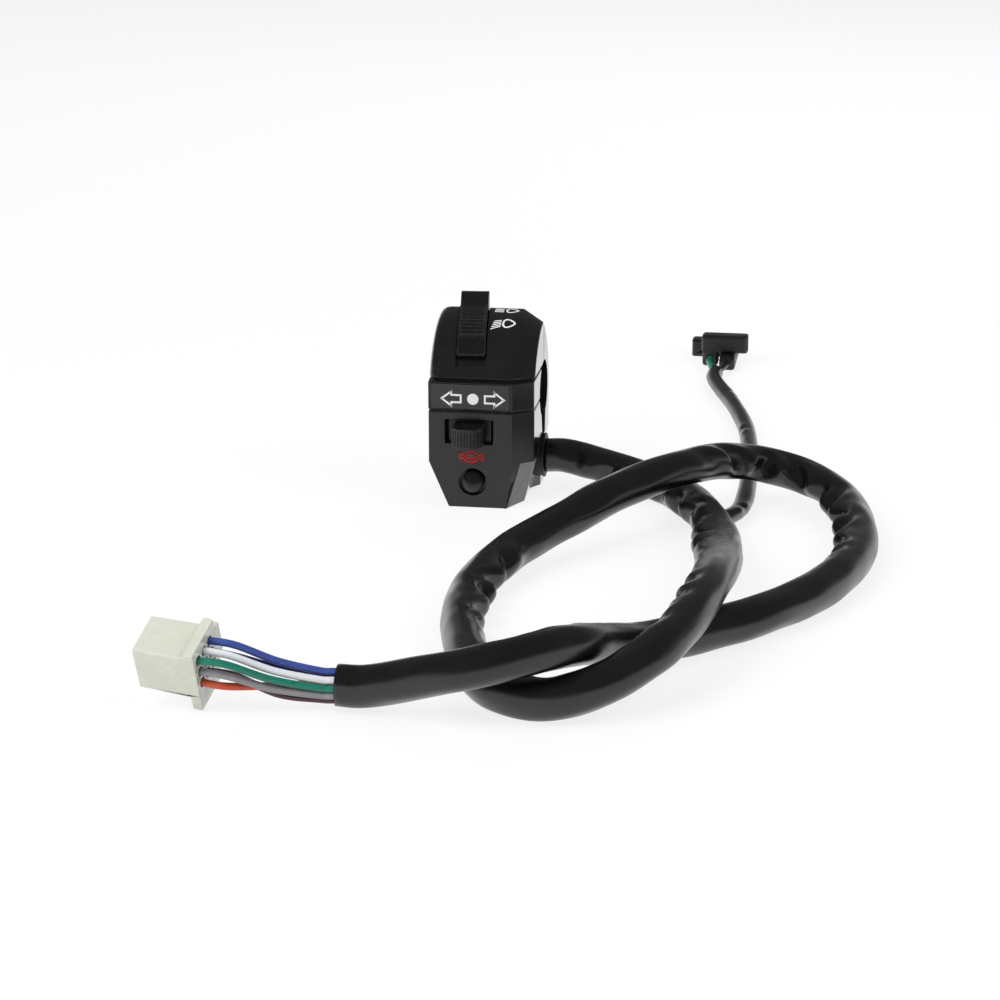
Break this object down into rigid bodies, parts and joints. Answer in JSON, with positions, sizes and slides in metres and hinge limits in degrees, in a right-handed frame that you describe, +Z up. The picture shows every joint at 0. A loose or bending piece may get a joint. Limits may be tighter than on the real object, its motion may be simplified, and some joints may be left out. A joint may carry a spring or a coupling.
{
  "type": "handlebar switch cluster",
  "caption": "Motorbike handlebar switch cluster: split clamp housing with beam lever, turn slider and horn button, and a knotted sleeved harness ending in a wire connector and flag terminals.",
  "frame": {"origin": "on the handlebar axis, midway across the housing's width", "axes": "+X along the handlebar towards the cable outlet, -Y out of the switch face towards the rider, +Z up, away from the flat foot"},
  "size_m": [0.2222, 0.4857, 0.0765],
  "materials": {
    "housing_plastic": "fine satin moulding",
    "control_plastic": "semi-gloss moulding",
    "label_sheet": "dark grey sheet",
    "zinc_steel": "zinc plated",
    "brass": "plain",
    "black_rubber": "soft moulding",
    "inner_nylon": "natural nylon",
    "phenolic": "brown phenolic board",
    "spring_steel": "drawn wire",
    "sleeve_vinyl": "glossy limp vinyl",
    "blue_wire": "vinyl insulation",
    "white_wire": "vinyl insulation",
    "navy_wire": "vinyl insulation",
    "orange_wire": "vinyl insulation",
    "green_wire": "vinyl insulation",
    "grey_wire": "vinyl insulation",
    "brown_wire": "vinyl insulation",
    "clear_nylon": "milky nylon",
    "boot_vinyl": "soft vinyl boot"
  },
  "bodies": {
    "housing": {"front_housing": "housing_plastic", "rear_housing": "housing_plastic", "label_plate": "label_sheet", "clamp_screws": "zinc_steel", "clamp_inserts": "brass", "cable_grommet": "black_rubber", "inner_loom": "sleeve_vinyl", "dimmer_base": "phenolic", "dimmer_terminals": "brass", "turn_base": "phenolic", "turn_terminals": "brass", "turn_spring": "spring_steel", "turn_ball": "spring_steel", "horn_base": "phenolic", "horn_terminals": "brass", "harness_sleeve": "sleeve_vinyl", "side_lead": "sleeve_vinyl", "wire_blue": "blue_wire", "wire_white": "white_wire", "wire_navy": "navy_wire", "wire_orange": "orange_wire", "wire_green": "green_wire", "wire_grey": "grey_wire", "wire_brown": "brown_wire", "connector_housing": "clear_nylon", "connector_terminals": "brass", "lead_green": "green_wire", "lead_black": "sleeve_vinyl", "boot_front": "boot_vinyl", "boot_rear": "boot_vinyl", "flag_terminals": "brass"},
    "dimmer": {"dimmer_lever": "control_plastic", "dimmer_carrier": "inner_nylon", "dimmer_contact": "brass", "dimmer_spring": "spring_steel", "dimmer_ball": "spring_steel"},
    "turn": {"turn_knob": "control_plastic", "turn_carrier": "control_plastic", "turn_contact": "brass"},
    "horn": {"horn_button": "control_plastic", "horn_contact": "brass", "horn_spring": "spring_steel"}
  },
  "joints": [
    {"name": "dimmer_swing", "type": "hinge", "parent": "housing", "child": "dimmer", "pos_m": [-0.00645, -0.00002, 0], "axis": [-0.9959, -0.0906, 0], "range_deg": [0, 19]},
    {"name": "turn_slide", "type": "slide", "parent": "housing", "child": "turn", "axis": [1, 0, 0], "range_m": [-0.003, 0.003]},
    {"name": "horn_press", "type": "slide", "parent": "housing", "child": "horn", "axis": [0, 1, 0], "range_m": [0, 0.002], "stiffness_N_per_m": 300, "springref_m": -0.002, "deforming": ["horn_spring"]}
  ]
}
